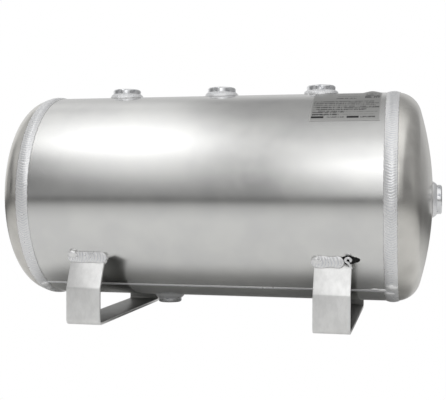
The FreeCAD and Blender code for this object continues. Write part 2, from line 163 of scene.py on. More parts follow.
# Aluminium weld bead as laid: frosty silver white, with a greyer line of oxide in each ripple's crease
# and near black where the attribute for black patches is set.
beadLook = {"light": "#FFFFFF", "dark": "#D6DAE2", "blackPatch": "#151514", "roughLow": 0.27, "roughHigh": 0.36,
            "metallic": 0.6, "frostSize": 0.9 * mm, "frostDepth": 0.035 * mm, "cloudSize": 5 * mm,
            "cloudSpan": (0.3, 0.7), "leastOxide": 0.5}


def weldBead():
    look = beadLook
    material, tree = newTree("aluminiumWeldBead")
    place = addNode(tree, "ShaderNodeTexCoord").outputs["Object"]
    frost, cloud = (
        addNode(tree, "ShaderNodeTexNoise", values={"Scale": 1 / size, "Detail": 3.0},
                links={"Vector": place})
        for size in (look["frostSize"], look["cloudSize"]))
    groove = addNode(tree, "ShaderNodeAttribute", {"attribute_type": "GEOMETRY", "attribute_name": "groove"})
    cloudLow, cloudHigh = look["cloudSpan"]
    patch = addNode(tree, "ShaderNodeMapRange",
                    values={"From Min": cloudLow, "From Max": cloudHigh, "To Min": look["leastOxide"]},
                    links={"Value": cloud})
    shade = addNode(tree, "ShaderNodeMath", {"operation": "MULTIPLY"},
                    links={0: groove.outputs["Fac"], 1: patch})
    rough = addNode(tree, "ShaderNodeMapRange",
                    values={"From Min": cloudLow, "From Max": cloudHigh,
                            "To Min": look["roughLow"], "To Max": look["roughHigh"]},
                    links={"Value": cloud})
    colour = addNode(tree, "ShaderNodeMix", {"data_type": "RGBA"},
                     {"A": linearColour(look["light"]), "B": linearColour(look["dark"])}, {"Factor": shade})
    # drops marked in the attribute for black patches are coloured near black
    blackPatch = addNode(tree, "ShaderNodeAttribute", {"attribute_type": "GEOMETRY", "attribute_name": "blackPatch"})
    blackPatched = addNode(tree, "ShaderNodeMix", {"data_type": "RGBA"}, {"B": linearColour(look["blackPatch"])},
                    {"Factor": blackPatch.outputs["Fac"], "A": colour})
    frosted = addNode(tree, "ShaderNodeBump", values={"Distance": look["frostDepth"]},
                      links={"Height": frost})
    metal = addNode(tree, "ShaderNodeBsdfPrincipled", values={"Metallic": look["metallic"]},
                    links={"Base Color": blackPatched, "Roughness": rough, "Normal": frosted})
    addNode(tree, "ShaderNodeOutputMaterial", links={"Surface": metal})
    return material


# Turned aluminium bar: bright, with fine tool marks round it and a few dull nicks where a wrench has held it.
# The tool marks are about 0.15 mm apart; they are drawn at 0.5 mm so that they show.
turnedLook = {"colours": ("#F4F5F7", "#B9BBC0"), "colourSpan": (0.56, 0.64),
              "roughness": (0.2, 0.34), "roughSpan": (0.45, 0.65),
              "toolPitch": 0.5 * mm, "toolDepth": 0.012 * mm, "toolStretch": 0.02, "nickSize": 4.5 * mm}


def turnedBar():
    look = turnedLook
    material, tree = newTree("turnedAluminiumBar")
    place = addNode(tree, "ShaderNodeTexCoord").outputs["Object"]
    stretch = look["toolStretch"]
    flat = addNode(tree, "ShaderNodeMapping", values={"Scale": (stretch, stretch, 1)},
                   links={"Vector": place})
    marks = addNode(tree, "ShaderNodeTexNoise", values={"Scale": 1 / look["toolPitch"], "Detail": 1.0},
                    links={"Vector": flat})
    nick = addNode(tree, "ShaderNodeTexNoise",
                   values={"Scale": 1 / look["nickSize"], "Detail": 3.0, "Roughness": 0.6},
                   links={"Vector": place})
    colour, rough = mottled(tree, nick, look)
    tooled = addNode(tree, "ShaderNodeBump", values={"Distance": look["toolDepth"]}, links={"Height": marks})
    metal = addNode(tree, "ShaderNodeBsdfPrincipled", values={"Metallic": 1.0},
                    links={"Base Color": colour, "Roughness": rough, "Normal": tooled})
    addNode(tree, "ShaderNodeOutputMaterial", links={"Surface": metal})
    return material


# Extruded aluminium flat bar: mill finish with die lines along it and slanting smears from handling; its
# inner faces are darkened as painted shade. The lines are a few hundredths of a millimetre wide; they are
# drawn at 0.7 mm to show.
footLook = {"colours": ("#F0F0EF", "#FAFAF9"), "colourSpan": (0.38, 0.62), "inside": "#8E8E8C",
            "roughness": (0.43, 0.38), "roughSpan": (0.38, 0.62),
            "lineWidth": 0.7 * mm, "lineDepth": 0.005 * mm, "lineStretch": 0.012,
            "smearSize": 7 * mm, "smearLean": 0.6, "smearStretch": 0.5}


def footBar():
    look = footLook
    material, tree = newTree("extrudedAluminiumFlatBar")
    place = addNode(tree, "ShaderNodeTexCoord").outputs["Object"]
    drawn = addNode(tree, "ShaderNodeMapping",
                    values={"Scale": (1, look["lineStretch"], look["lineStretch"])}, links={"Vector": place})
    lines = addNode(tree, "ShaderNodeTexNoise", values={"Scale": 1 / look["lineWidth"], "Detail": 2.0},
                    links={"Vector": drawn})
    leaning = addNode(tree, "ShaderNodeMapping",
                      values={"Rotation": (0, look["smearLean"], 0), "Scale": (1, 1, look["smearStretch"])},
                      links={"Vector": place})
    smear = addNode(tree, "ShaderNodeTexNoise",
                    values={"Scale": 1 / look["smearSize"], "Detail": 5.0, "Roughness": 0.6},
                    links={"Vector": leaning})
    colour, rough = mottled(tree, smear, look)
    # faces marked inside are mixed towards the darker inside colour: painted shade for the channel's shadow
    inside = addNode(tree, "ShaderNodeAttribute", {"attribute_type": "GEOMETRY", "attribute_name": "inside"})
    insideShadePainted = addNode(tree, "ShaderNodeMix", {"data_type": "RGBA"}, {"B": linearColour(look["inside"])},
                     {"Factor": inside.outputs["Fac"], "A": colour})
    lined = addNode(tree, "ShaderNodeBump", values={"Distance": look["lineDepth"]}, links={"Height": lines})
    metal = addNode(tree, "ShaderNodeBsdfPrincipled", values={"Metallic": 1.0},
                    links={"Base Color": insideShadePainted, "Roughness": rough, "Normal": lined})
    addNode(tree, "ShaderNodeOutputMaterial", links={"Surface": metal})
    return material


# Printed aluminium foil label: grey, a little dull, with rows of dark dashes in place of words.
# Each mark is (middle and half width across, middle and half height down, ink), as shares of the label.
labelLook = {"foil": "#BDBDBB", "rim": "#D2D2D0", "ink": "#1C1C1E", "roughness": 0.38,
             "dashes": 62, "dashSpan": (0.2, 0.45), "faintestDash": 0.25, "metallic": (1.0, 0.1),
             "rowPitch": 0.0615, "firstRow": 0.49, "rowStart": 0.03, "rowHalf": 0.019, "rimWidth": 0.008,
             "rimSoft": 0.007, "grainSize": 1.2 * mm, "grainDepth": 0.02 * mm,
             "rowEnds": (0.90, 0.97, 0.93, 0.98, 0.80, 0.48, 0.42),
             "rowInk": (0.62, 0.66, 0.5, 0.72, 0.74, 0.8, 0.85),
             "marks": ((0.49, 0.15, 0.36, 0.018, 0.85), (0.52, 0.16, 0.26, 0.016, 0.4),
                       (0.5, 0.2, 0.15, 0.02, 0.35), (0.87, 0.11, 0.17, 0.06, 0.45),
                       (0.87, 0.11, 0.29, 0.07, 0.8),
                       (0.72, 0.24, 0.7975, 0.010, 0.35), (0.68, 0.24, 0.859, 0.008, 0.3),
                       (0.365, 0.125, 0.92, 0.014, 0.62), (0.825, 0.105, 0.92, 0.016, 0.75)),
             "blocks": ((0.11, 0.09, 0.92, 0.022, 1.0), (0.615, 0.085, 0.92, 0.022, 1.0))}


def labelFoil():
    look = labelLook
    material, tree = newTree("printedAluminiumFoil")
    place = addNode(tree, "ShaderNodeTexCoord").outputs["Object"]
    sheetPlace = addNode(tree, "ShaderNodeUVMap", {"uv_map": "sheet"})
    parts = addNode(tree, "ShaderNodeSeparateXYZ", links={"Vector": sheetPlace})
    across, down = parts.outputs["X"], parts.outputs["Y"]
    cells = addNode(tree, "ShaderNodeVectorMath", {"operation": "MULTIPLY"},
                    {1: (look["dashes"], 1 / look["rowPitch"], 1)}, {0: sheetPlace})
    snapped = addNode(tree, "ShaderNodeVectorMath", {"operation": "FLOOR"}, links={0: cells})
    letters = addNode(tree, "ShaderNodeTexWhiteNoise", {"noise_dimensions": "2D"}, links={"Vector": snapped})
    dashLow, dashHigh = look["dashSpan"]
    dash = addNode(tree, "ShaderNodeMapRange",
                   values={"From Min": dashLow, "From Max": dashHigh, "To Min": look["faintestDash"]},
                   links={"Value": letters})
    start = look["rowStart"]
    rows = [((start + end) / 2, (end - start) / 2, look["firstRow"] + look["rowPitch"] * k,
             look["rowHalf"], ink)
            for k, (end, ink) in enumerate(zip(look["rowEnds"], look["rowInk"]))]
    printed = {}
    for group, marks in (("dashed", rows + list(look["marks"])), ("solid", look["blocks"])):
        total = None
        for middleU, halfU, middleV, halfV, ink in marks:
            bands = [addNode(tree, "ShaderNodeMath", {"operation": "COMPARE"}, {1: middle, 2: half}, {0: way})
                     for way, middle, half in ((across, middleU, halfU), (down, middleV, halfV))]
            inside = addNode(tree, "ShaderNodeMath", {"operation": "MULTIPLY"}, links=dict(enumerate(bands)))
            inked = addNode(tree, "ShaderNodeMath", {"operation": "MULTIPLY"}, {1: ink}, {0: inside})
            if total:
                inked = addNode(tree, "ShaderNodeMath", {"operation": "MAXIMUM"}, links={0: total, 1: inked})
            total = inked
        printed[group] = total
    dashed = addNode(tree, "ShaderNodeMath", {"operation": "MULTIPLY"}, links={0: printed["dashed"], 1: dash})
    ink = addNode(tree, "ShaderNodeMath", {"operation": "MAXIMUM"}, links={0: dashed, 1: printed["solid"]})
    centred = addNode(tree, "ShaderNodeVectorMath", {"operation": "SUBTRACT"}, {1: (0.5, 0.5, 0)},
                      {0: sheetPlace})
    edge = addNode(tree, "ShaderNodeVectorMath", {"operation": "ABSOLUTE"}, links={0: centred})
    edgeParts = addNode(tree, "ShaderNodeSeparateXYZ", links={"Vector": edge})
    outermost = addNode(tree, "ShaderNodeMath", {"operation": "MAXIMUM"},
                        links={0: edgeParts.outputs["X"], 1: edgeParts.outputs["Y"]})
    rimFrom = 0.5 - look["rimWidth"]
    rim = addNode(tree, "ShaderNodeMapRange",
                  values={"From Min": rimFrom - look["rimSoft"], "From Max": rimFrom},
                  links={"Value": outermost})
    grain = addNode(tree, "ShaderNodeTexNoise", values={"Scale": 1 / look["grainSize"], "Detail": 2.0},
                    links={"Vector": place})
    foil = addNode(tree, "ShaderNodeMix", {"data_type": "RGBA"},
                   {"A": linearColour(look["foil"]), "B": linearColour(look["rim"])}, {"Factor": rim})
    colour = addNode(tree, "ShaderNodeMix", {"data_type": "RGBA"}, {"B": linearColour(look["ink"])},
                     {"Factor": ink, "A": foil})
    foilMetallic, inkMetallic = look["metallic"]
    bare = addNode(tree, "ShaderNodeMapRange", values={"To Min": foilMetallic, "To Max": inkMetallic},
                   links={"Value": ink})
    crinkled = addNode(tree, "ShaderNodeBump", values={"Distance": look["grainDepth"]},
                       links={"Height": grain})
    metal = addNode(tree, "ShaderNodeBsdfPrincipled", values={"Roughness": look["roughness"]},
                    links={"Base Color": colour, "Metallic": bare, "Normal": crinkled})
    addNode(tree, "ShaderNodeOutputMaterial", links={"Surface": metal})
    return material


finishes = {"rolled_sheet": rolledSheet(), "spun_head": spunHead(), "weld_bead": weldBead(),
            "turned_bar": turnedBar(), "foot_bar": footBar(), "label_foil": labelFoil()}
print("materials made:", len(finishes))


def newPiece(name, mesh):
    piece = bpy.data.objects.new(name, mesh)
    bpy.context.scene.collection.objects.link(piece)
    return piece


def settled(piece):
    # works a piece's modifiers into its mesh
    shown = piece.evaluated_get(bpy.context.evaluated_depsgraph_get())
    mesh = bpy.data.meshes.new_from_object(shown)
    mesh.name = piece.name
    piece.modifiers.clear()
    piece.data = mesh
    return piece


def putOn(piece, slotName, *replacedNodes):
    # a finished piece rides on the tank and takes one of the record's finishes
    piece.data.materials.clear()
    piece.data.materials.append(finishes[slotName])
    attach(piece, "root")
    if replacedNodes:
        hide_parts(*replacedNodes)


def cleaned(mesh, sharpAngle=35):
    # closes seams and poles, points the faces outwards and keeps edges crisp above sharpAngle degrees
    shape = bmesh.new()
    shape.from_mesh(mesh)
    bmesh.ops.remove_doubles(shape, verts=shape.verts, dist=joinWithin)
    bmesh.ops.recalc_face_normals(shape, faces=shape.faces)
    shape.to_mesh(mesh)
    shape.free()
    mesh.polygons.foreach_set("use_smooth", [True] * len(mesh.polygons))
    mesh.set_sharp_from_angle(angle=math.radians(sharpAngle))
    return mesh


def gridMesh(name, rows, closedRows, closedColumns):
    # rows of points joined by four sided faces
    rowCount, columnCount = len(rows), len(rows[0])
    faces = []
    for row in range(rowCount if closedRows else rowCount - 1):
        for column in range(columnCount if closedColumns else columnCount - 1):
            nextRow, nextColumn = (row + 1) % rowCount, (column + 1) % columnCount
            faces.append((row * columnCount + column, row * columnCount + nextColumn,
                          nextRow * columnCount + nextColumn, nextRow * columnCount + column))
    mesh = bpy.data.meshes.new(name)
    mesh.from_pydata([tuple(point) for line in rows for point in line], [], faces)
    mesh.polygons.foreach_set("use_smooth", [True] * len(faces))
    return mesh


facings = {"up": ((0, 0, 1), (1, 0, 0)), "down": ((0, 0, -1), (1, 0, 0)),
           "right": ((1, 0, 0), (0, 0, 1)), "left": ((-1, 0, 0), (0, 0, 1))}


def turned(name, outline, segments, origin, facing, threadPitch=1.0):
    # a skin turned about an axis; outline points are (along, radius) or (along, radius, thread depth)
    ahead, side = (np.array(way, float) for way in facings[facing])
    third = np.cross(ahead, side)
    origin = np.array(origin, float)
    rows = []
    for point in outline:
        depth = point[2] if len(point) > 2 else 0
        line = []
        for step in range(segments):
            angle = 2 * math.pi * step / segments
            flank = abs(2 * ((point[0] / threadPitch + step / segments) % 1) - 1)
            ray = side * math.cos(angle) + third * math.sin(angle)
            line.append(origin + ahead * point[0] + ray * (point[1] + depth * flank))
        rows.append(line)
    return cleaned(gridMesh(name, rows, outline[0][1] > 0, True))


bitSegments = 120


def drilled(piece, holes):
    # round holes, each (centre, radius, facing, half depth)
    drills = bmesh.new()
    for centre, radius, facing, reach in holes:
        outline = [(-reach, 0), (-reach, radius), (reach, radius), (reach, 0)]
        bit = turned("bit", outline, bitSegments, centre, facing)
        drills.from_mesh(bit)
        bpy.data.meshes.remove(bit)
    bits = bpy.data.meshes.new("drill")
    drills.to_mesh(bits)
    drills.free()
    drill = newPiece("drill", bits)
    cut = piece.modifiers.new("holes", "BOOLEAN")
    cut.operation, cut.solver, cut.object = "DIFFERENCE", "EXACT", drill
    settled(piece)
    bpy.data.objects.remove(drill)
    cleaned(piece.data)
    return piece


portForm = {"chamfer": 1.4 * mm, "boreChamfer": 1.2 * mm, "edge": 0.12 * mm, "clearance": 0.15 * mm,
            "weldLeg": 3.7 * mm, "weldHeight": 4.6 * mm, "segments": 128, "threadSteps": 8,
            "shellDrill": 10 * mm, "headDrill": 25 * mm}
# bore radii are at the thread's crests: 1/2 in taper thread in the large ports, 3/8 in the drain
largeThread = {"bore": 9.15 * mm, "threadPitch": 1.814 * mm, "threadDepth": 1.1 * mm}
smallThread = {"bore": 7.35 * mm, "threadPitch": 1.411 * mm, "threadDepth": 0.85 * mm}
ports = {"top_port_left": dict(largeThread, facing="up", weld="top_port_weld_left", seed=11.0, fullness=1.0),
         "top_port_centre": dict(largeThread, facing="up", weld="top_port_weld_centre", seed=12.5,
                                 fullness=1.1),
         "top_port_right": dict(largeThread, facing="up", weld="top_port_weld_right", seed=14.2,
                                fullness=1.9),
         "drain_port": dict(smallThread, facing="down", weld="drain_port_weld", seed=15.1, fullness=1.2),
         "end_port": dict(largeThread, facing="right", weld="end_port_weld", seed=16.6, fullness=1.0)}
for name, port in ports.items():
    low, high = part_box(name)
    middle = (low + high) / 2
    if port["facing"] == "right":
        port["mouth"], port["radius"] = (high.x, middle.y, middle.z), (high.z - low.z) / 2
        port["length"] = high.x - low.x
    else:
        port["mouth"] = (middle.x, middle.y, high.z if port["facing"] == "up" else low.z)
        port["radius"], port["length"] = (high.x - low.x) / 2, high.z - low.z


def turnPort(name, port):
    # a half coupling: chamfered outside, threaded bore, edges just broken
    form, radius, bore, length = portForm, port["radius"], port["bore"], port["length"]
    edge, chamfer, threaded = form["edge"], form["chamfer"], length - form["boreChamfer"]
    outline = [(0, bore + form["boreChamfer"]), (0, radius - chamfer - edge), (-edge / 2, radius - chamfer),
               (edge - chamfer, radius - edge / 2), (-chamfer - edge, radius), (-length, radius)]
    steps = int(threaded / port["threadPitch"] * form["threadSteps"])
    for step in range(steps + 1):
        outline.append((-length + threaded * step / steps, bore, port["threadDepth"]))
    mesh = turned(name + "_turned", outline, form["segments"], port["mouth"], port["facing"],
                  port["threadPitch"])
    putOn(newPiece(name + "_turned", mesh), "turned_bar", name)


for name, port in ports.items():
    turnPort(name, port)
print("ports turned:", len(ports))


def rollShell():
    # the tube, bevelled at both ends, with a hole for each coupling
    radius, half, bevel = tank["radius"], tank["half"], tank["bevel"]
    rows = tank["rows"]
    outline = [(-half + bevel + (2 * half - 2 * bevel) * row / rows, radius) for row in range(rows + 1)]
    outline += [(half, radius - bevel), (half, radius - tank["wall"]), (-half, radius - tank["wall"]),
                (-half, radius - bevel)]
    origin = (tank["middle"], 0, tank["height"])
    shell = newPiece("shell_tube", turned("shell_tube", outline, tank["segments"], origin, "right"))
    holes = []
    for port in ports.values():
        if port["facing"] in ("up", "down"):
            way = 1 if port["facing"] == "up" else -1
            centre = (port["mouth"][0], 0, tank["height"] + way * radius)
            holes.append((centre, port["radius"] + portForm["clearance"], port["facing"],
                          portForm["shellDrill"]))
    putOn(drilled(shell, holes), "rolled_sheet", "shell")


rollShell()
print("shell rolled")

headForm = {"crown": 360 * mm, "knuckle": 29 * mm, "flange": 3.4 * mm, "rootGap": 2 * mm,
            "skirtLength": 16 * mm, "skirtGap": 0.3 * mm, "crownSteps": 56, "knuckleSteps": 22,
            "innerSteps": 14}


def setOutHead():
    # from the tank's middle to the tangent line, from the axis to the knuckle's centre, and how far behind
    # the tangent line the crown's centre lies
    tangent, ring = tank["half"] + headForm["flange"], tank["radius"] - headForm["knuckle"]
    return tangent, ring, math.sqrt((headForm["crown"] - headForm["knuckle"]) ** 2 - ring ** 2)


def domeArc(less, crownSteps, knuckleSteps, lastAngle):
    # the dish from its apex out to the tangent line, less metres inside the outer face
    crown, knuckle = headForm["crown"], headForm["knuckle"]
    tangent, ring, back = setOutHead()
    turn = math.atan2(ring, back)
    points = [(tangent - back + (crown - less) * math.cos(turn * step / crownSteps),
               (crown - less) * math.sin(turn * step / crownSteps)) for step in range(crownSteps)]
    for step in range(knuckleSteps + 1):
        angle = turn + (lastAngle - turn) * step / knuckleSteps
        points.append((tangent + (knuckle - less) * math.cos(angle),
                       ring + (knuckle - less) * math.sin(angle)))
    return points


def spinHead(nodeName, facing):
    form, wall, bevel = headForm, tank["wall"], tank["bevel"]
    shoulder, skirt = tank["half"] + form["rootGap"], tank["radius"] - wall - form["skirtGap"]
    skirtEnd, jog = tank["half"] - form["skirtLength"], tank["half"] + form["rootGap"] + wall
    lastAngle = math.acos((jog - setOutHead()[0]) / (form["knuckle"] - wall))
    outline = domeArc(0, form["crownSteps"], form["knuckleSteps"], math.pi / 2)
    outline += [(shoulder + bevel, tank["radius"]), (shoulder, tank["radius"] - bevel), (shoulder, skirt),
                (skirtEnd, skirt), (skirtEnd, skirt - wall), (jog - wall / 2, skirt - wall)]
    outline += domeArc(wall, form["innerSteps"], form["innerSteps"], lastAngle)[::-1]
    origin = (tank["middle"], 0, tank["height"])
    head = newPiece(nodeName + "_dish", turned(nodeName + "_dish", outline, tank["segments"], origin, facing))
    if facing == "right":
        port = ports["end_port"]
        centre = (port["mouth"][0] - port["length"] / 2, 0, port["mouth"][2])
        drilled(head, [(centre, port["radius"] + portForm["clearance"], "right", portForm["headDrill"])])
    putOn(head, "spun_head", nodeName)


spinHead("head_left", "left")
spinHead("head_right", "right")
print("heads spun")


# One tree raises the ripples on every bead. The flat bead brings three values at each point:
# along (metres from the start), across (-1 to 1) and top (1 on the face of the weld, 0 underneath).
rippleForm = {"wanderScale": 90.0, "wander": 1.6, "poolOffCentre": 0.1, "bow": 1.3, "edgeFade": 4,
              "lumpLevel": 0.75, "grooveSharpness": 1.5}


def makeRippleTree():
    form = rippleForm
    tree = bpy.data.node_groups.new("weldRipples", "GeometryNodeTree")
    tree.interface.new_socket("Geometry", in_out="INPUT", socket_type="NodeSocketGeometry")
    for name in ("Ripple pitch", "Ripple height", "Pool lag", "Lump height", "Lump size", "Seed"):
        tree.interface.new_socket(name, in_out="INPUT", socket_type="NodeSocketFloat")
    tree.interface.new_socket("Finish", in_out="INPUT", socket_type="NodeSocketMaterial")
    tree.interface.new_socket("Geometry", in_out="OUTPUT", socket_type="NodeSocketGeometry")
    start = addNode(tree, "NodeGroupInput")
    wander = addNode(tree, "ShaderNodeTexNoise", {"noise_dimensions": "4D"},
                     {"Scale": form["wanderScale"], "Detail": 1.0},
                     {"W": start.outputs["Seed"]})
    fineness = addNode(tree, "ShaderNodeMath", {"operation": "DIVIDE"}, {0: 1.0},
                       {1: start.outputs["Lump size"]})
    lumps = addNode(tree, "ShaderNodeTexNoise", {"noise_dimensions": "4D"}, {"Detail": 2.0},
                    {"W": start.outputs["Seed"], "Scale": fineness})
    found = {"pitch": start.outputs["Ripple pitch"], "ripple": start.outputs["Ripple height"],
             "lag": start.outputs["Pool lag"], "lumpHeight": start.outputs["Lump height"],
             "wander": wander.outputs["Fac"], "lumps": lumps.outputs["Fac"]}
    for name in ("along", "across", "top"):
        found[name] = addNode(tree, "GeometryNodeInputNamedAttribute", {"data_type": "FLOAT"},
                              {"Name": name}).outputs[0]
    # ripples are rounded lips with sharp creases, bowed back by the lag of the pool towards each side
    for name, operation, first, second in (
            ("offCentre", "SUBTRACT", "across", form["poolOffCentre"]),
            ("offCentre", "ABSOLUTE", "offCentre", 0),
            ("bow", "POWER", "offCentre", form["bow"]),
            ("bow", "SUBTRACT", 1, "bow"),
            ("bow", "MULTIPLY", "bow", "lag"),
            ("drift", "SUBTRACT", "wander", 0.5),
            ("drift", "MULTIPLY", "drift", "pitch"),
            ("drift", "MULTIPLY", "drift", form["wander"]),
            ("phase", "SUBTRACT", "along", "bow"),
            ("phase", "ADD", "phase", "drift"),
            ("phase", "DIVIDE", "phase", "pitch"),
            ("phase", "MULTIPLY", "phase", math.pi),
            ("wave", "SINE", "phase", 0),
            ("wave", "ABSOLUTE", "wave", 0),
            ("side", "ABSOLUTE", "across", 0),
            ("side", "POWER", "side", form["edgeFade"]),
            ("fade", "SUBTRACT", 1, "side"),
            ("crease", "SUBTRACT", "wave", 1),
            ("lift", "MULTIPLY", "crease", "ripple"),
            ("lift", "MULTIPLY", "lift", "fade"),
            ("lump", "SUBTRACT", "lumps", form["lumpLevel"]),
            ("lump", "MULTIPLY", "lump", "lumpHeight"),
            ("lift", "ADD", "lift", "lump"),
            ("lift", "MULTIPLY", "lift", "top"),
            ("groove", "ABSOLUTE", "crease", 0),
            ("groove", "POWER", "groove", form["grooveSharpness"]),
            ("groove", "MULTIPLY", "groove", "fade")):
        given = {0: first, 1: second}
        values = {socket: value for socket, value in given.items() if not isinstance(value, str)}
        links = {socket: found[value] for socket, value in given.items() if isinstance(value, str)}
        found[name] = addNode(tree, "ShaderNodeMath", {"operation": operation}, values, links)
    normal = addNode(tree, "GeometryNodeInputNormal")
    offset = addNode(tree, "ShaderNodeVectorMath", {"operation": "SCALE"},
                     links={0: normal, "Scale": found["lift"]})
    moved = addNode(tree, "GeometryNodeSetPosition",
                    links={"Geometry": start.outputs["Geometry"], "Offset": offset})
    marked = addNode(tree, "GeometryNodeStoreNamedAttribute", {"data_type": "FLOAT", "domain": "POINT"},
                     {"Name": "groove"}, {"Geometry": moved, "Value": found["groove"]})
    real = addNode(tree, "GeometryNodeRealizeInstances", links={"Geometry": marked})
    dressed = addNode(tree, "GeometryNodeSetMaterial",
                      links={"Geometry": real, "Material": start.outputs["Finish"]})
    addNode(tree, "NodeGroupOutput", links={"Geometry": dressed})
    return tree


rippleTree = makeRippleTree()


def layBead(name, toeA, toeB, outward, look, closed, swell=None):
    # A bead between two toe lines. Its face bulges outward and its back lies in the parent metal.
    # swell scales each station about its middle, which rounds off the ends.
    toeA, toeB, outward = (np.array(points, float) for points in (toeA, toeB, outward))
    swell = np.ones(len(toeA)) if swell is None else np.array(swell, float)
    middle, half = (toeA + toeB) / 2, (toeB - toeA) / 2
    across = np.linspace(-1, 1, look["stepsAcross"] + 1)
    profile = (1 - np.abs(across) ** look["shoulder"]) ** look["flank"]
    travelled = np.concatenate([[0], np.cumsum(np.linalg.norm(np.diff(middle, axis=0), axis=1))])
    back = look["rootWidth"]
    rows, along, side, top = [], [], [], []
    for i, size in enumerate(swell):
        line = [middle[i] + half[i] * t * size + outward[i] * (look["crown"] * rise + look["lip"]) * size
                for t, rise in zip(across, profile)]
        line += [middle[i] + half[i] * t * size - outward[i] * look["root"] * size for t in (back, -back)]
        rows.append(line)
        along += [travelled[i]] * len(line)
        side += list(across) + [back, -back]
        top += [size] * len(across) + [0.0, 0.0]
    mesh = gridMesh(name, rows, closed, True)
    for label, values in (("along", along), ("across", side), ("top", top)):
        mesh.attributes.new(label, "FLOAT", "POINT").data.foreach_set("value", values)
    shape = bmesh.new()
    shape.from_mesh(mesh)
    shape.verts.ensure_lookup_table()
    columns = len(rows[0])
    if not closed:
        for row in (0, len(rows) - 1):
            shape.faces.new([shape.verts[row * columns + column] for column in range(columns)])
    bmesh.ops.recalc_face_normals(shape, faces=shape.faces)
    shape.to_mesh(mesh)
    shape.free()
    piece = newPiece(name, mesh)
    modifier = piece.modifiers.new("ripples", "NODES")
    modifier.node_group = rippleTree
    inputs = {"Ripple pitch": look["pitch"], "Ripple height": look["ripple"], "Pool lag": look["lag"],
              "Lump height": look["lump"], "Lump size": look["lumpSize"], "Seed": look["seed"],
              "Finish": finishes["weld_bead"]}
    for item in rippleTree.interface.items_tree:
        if item.in_out == "INPUT" and item.name in inputs:
            modifier[item.identifier] = inputs[item.name]
    return settled(piece)


def aroundTank(angle, reach, x=0.0):
    # a point reach metres from the tank's axis, angle measured from the top towards the front
    return np.array((x, -math.sin(angle) * reach, math.cos(angle) * reach + tank["height"]))


girthLook = {"crown": 1.4 * mm, "pitch": 2.9 * mm, "ripple": 0.3 * mm, "lag": 3.6 * mm, "lump": 0.25 * mm,
             "lumpSize": 6 * mm, "shoulder": 2.6, "flank": 1.5, "lip": 0.2 * mm, "root": 0.6 * mm,
             "rootWidth": 0.8, "stepsAcross": 18, "step": 0.5 * mm, "wander": 0.5 * mm, "lobes": (97, 83)}


def girthBead(nodeName, seed):
    low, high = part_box(nodeName)
    count = int(2 * math.pi * tank["radius"] / girthLook["step"])
    toeA, toeB, outward = [], [], []
    for i in range(count):
        angle = 2 * math.pi * i / count
        inset = []
        for lobes in girthLook["lobes"]:
            waver = math.sin(lobes * angle + seed) * math.sin((lobes // 3) * angle)
            inset.append(girthLook["wander"] * (1 + waver) / 2)
        toeA.append(aroundTank(angle, tank["radius"], low.x + inset[0]))
        toeB.append(aroundTank(angle, tank["radius"], high.x - inset[1]))
        outward.append((0, -math.sin(angle), math.cos(angle)))
    look = dict(girthLook, seed=seed)
    putOn(layBead(nodeName + "_bead", toeA, toeB, outward, look, True), "weld_bead", nodeName)


girthBead("girth_weld_left", 3.0)
girthBead("girth_weld_right", 8.0)
print("girth welds laid")

seamLook = {"crown": 0.75 * mm, "pitch": 2.4 * mm, "ripple": 0.14 * mm, "lag": 1.6 * mm, "lump": 0.2 * mm,
            "lumpSize": 7 * mm, "shoulder": 2.2, "flank": 1.2, "lip": 0.12 * mm, "root": 0.5 * mm,
            "rootWidth": 0.7, "stepsAcross": 10, "step": 0.6 * mm, "width": 5 * mm,
            "angle": math.radians(149), "seed": 5.0, "widening": 0.5, "wideningLength": 40 * mm,
            "waver": 0.06, "waverLength": 5 * mm}


def longSeam():
    # the tube's own seam, which grows wider towards its right end
    look = seamLook
    low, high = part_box("long_seam_weld")
    count = int((high.x - low.x) / look["step"])
    toeA, toeB, outward = [], [], []
    angle, radius = look["angle"], tank["radius"]
    for i in range(count + 1):
        x = low.x + (high.x - low.x) * i / count
        grow = 1 + look["widening"] * max(0, 1 - (high.x - x) / look["wideningLength"])
        grow += look["waver"] * math.sin(x / look["waverLength"])
        half = look["width"] / 2 / radius * grow
        toeA.append(aroundTank(angle - half, radius, x))
        toeB.append(aroundTank(angle + half, radius, x))
        outward.append((0, -math.sin(angle), math.cos(angle)))
    putOn(layBead("long_seam_weld_bead", toeA, toeB, outward, look, False), "weld_bead", "long_seam_weld")


longSeam()
print("long seam laid")

portWeldLook = {"crown": 0.55 * mm, "pitch": 2.2 * mm, "ripple": 0.24 * mm, "lag": 1.5 * mm, "lump": 0.5 * mm,
                "lumpSize": 6 * mm, "shoulder": 2.4, "flank": 1.2, "lip": 0.1 * mm, "root": 2.2 * mm,
                "rootWidth": 0.2, "stepsAcross": 12, "steps": 320, "fitSteps": 6, "waver": 0.04,
                "waverLobes": 9}


